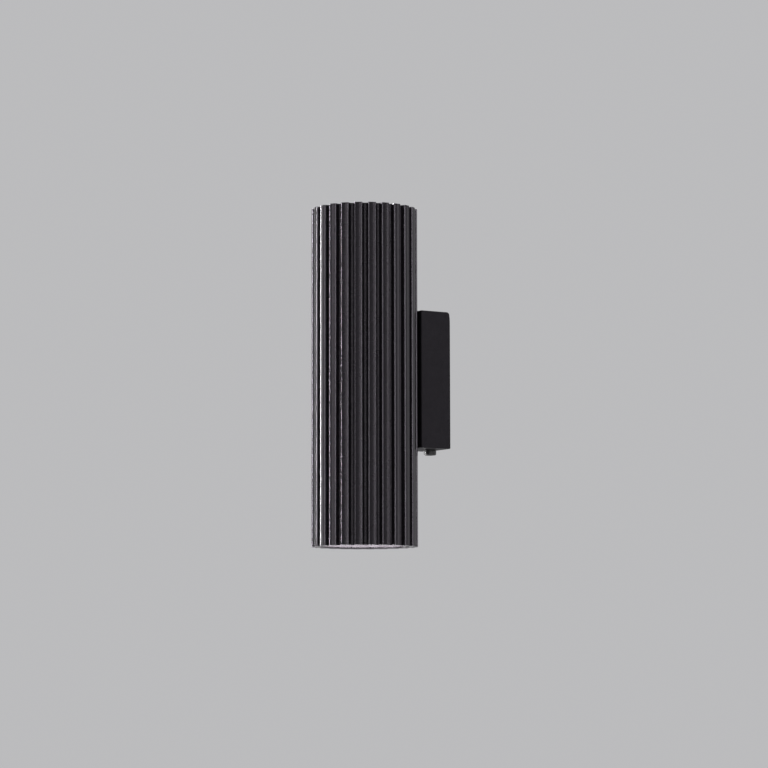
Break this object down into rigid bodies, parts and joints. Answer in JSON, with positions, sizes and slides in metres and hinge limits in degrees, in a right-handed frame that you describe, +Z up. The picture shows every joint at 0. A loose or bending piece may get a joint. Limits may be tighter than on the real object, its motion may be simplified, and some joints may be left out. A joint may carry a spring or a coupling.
{
  "type": "tube wall light",
  "caption": "Fluted tube wall light, open at top and bottom, with a lamp at each end, carried by a shallow box on a wall bracket.",
  "frame": {"origin": "middle of the wall face, on the axis of the cable entry", "axes": "+Z up along the tube, +Y into the wall, +X to the right as one faces the wall"},
  "size_m": [0.0628, 0.0832, 0.2],
  "materials": {
    "tube_finish": "extruded aluminium, satin black coating",
    "box_finish": "folded steel sheet, fine-textured black powder coating",
    "black_screw": "blackened steel",
    "fibre_washer": "black fibre",
    "zinc_plate": "bright zinc plate",
    "rubber_bush": "black rubber",
    "black_nylon": "black nylon",
    "clear_nylon": "natural nylon",
    "brass_parts": "turned brass",
    "tinned_brass": "tinned or nickel-plated brass",
    "ceramic": "unglazed ceramic",
    "lamp_shell": "white thermoplastic over an aluminium core",
    "lamp_base": "white thermoplastic",
    "lamp_lens": "frosted lens, lit",
    "led_board": "white solder mask on aluminium",
    "live_lead": "brown silicone insulation",
    "neutral_lead": "blue silicone insulation",
    "earth_lead": "green and yellow insulation"
  },
  "bodies": {
    "light": {"fluted_tube": "tube_finish", "cover_box": "box_finish", "wall_bracket": "zinc_plate", "lamp_frame": "zinc_plate", "cable_bush": "rubber_bush", "wire_bush": "black_nylon", "head_screws": "zinc_plate", "head_washers": "zinc_plate", "clinch_nut": "zinc_plate", "holder_screws": "zinc_plate", "holder_nuts": "zinc_plate", "earth_screw": "brass_parts", "earth_washer": "zinc_plate", "earth_tags": "tinned_brass", "terminal_block": "clear_nylon", "terminal_sleeves": "brass_parts", "terminal_screws": "zinc_plate", "terminal_fixing_screw": "zinc_plate", "upper_lampholder": "ceramic", "upper_contacts": "tinned_brass", "lower_lampholder": "ceramic", "lower_contacts": "tinned_brass", "upper_live_lead": "live_lead", "upper_neutral_lead": "neutral_lead", "lower_live_lead": "live_lead", "lower_neutral_lead": "neutral_lead", "earth_lead": "earth_lead"},
    "screw_slide": {"screw_washer": "fibre_washer"},
    "screw": {"retaining_screw": "black_screw"},
    "upper_lamp": {"upper_lamp_shell": "lamp_shell", "upper_lamp_lens": "lamp_lens", "upper_led_board": "led_board", "upper_lamp_base": "lamp_base", "upper_lamp_pins": "tinned_brass"},
    "lower_lamp": {"lower_lamp_shell": "lamp_shell", "lower_lamp_lens": "lamp_lens", "lower_led_board": "led_board", "lower_lamp_base": "lamp_base", "lower_lamp_pins": "tinned_brass"}
  },
  "joints": [
    {"name": "screw_travel", "type": "slide", "parent": "light", "child": "screw_slide", "axis": [0, 0, -1], "range_m": [0, 0.00455]},
    {"name": "screw_turn", "type": "hinge", "parent": "screw_slide", "child": "screw", "pos_m": [0, -0.0061, -0.0415], "axis": [0, 0, -1], "range_deg": [0, 2345]},
    {"name": "upper_lamp_twist", "type": "hinge", "parent": "light", "child": "upper_lamp", "pos_m": [0, -0.0518, 0.05], "axis": [0, 0, 1], "range_deg": [0, 20]},
    {"name": "lower_lamp_twist", "type": "hinge", "parent": "light", "child": "lower_lamp", "pos_m": [0, -0.0518, -0.05], "axis": [0, 0, -1], "range_deg": [0, 20]}
  ],
  "couplings": [
    {"joint": "screw_turn", "follows": "screw_travel", "rad_per_m": 8976}
  ]
}
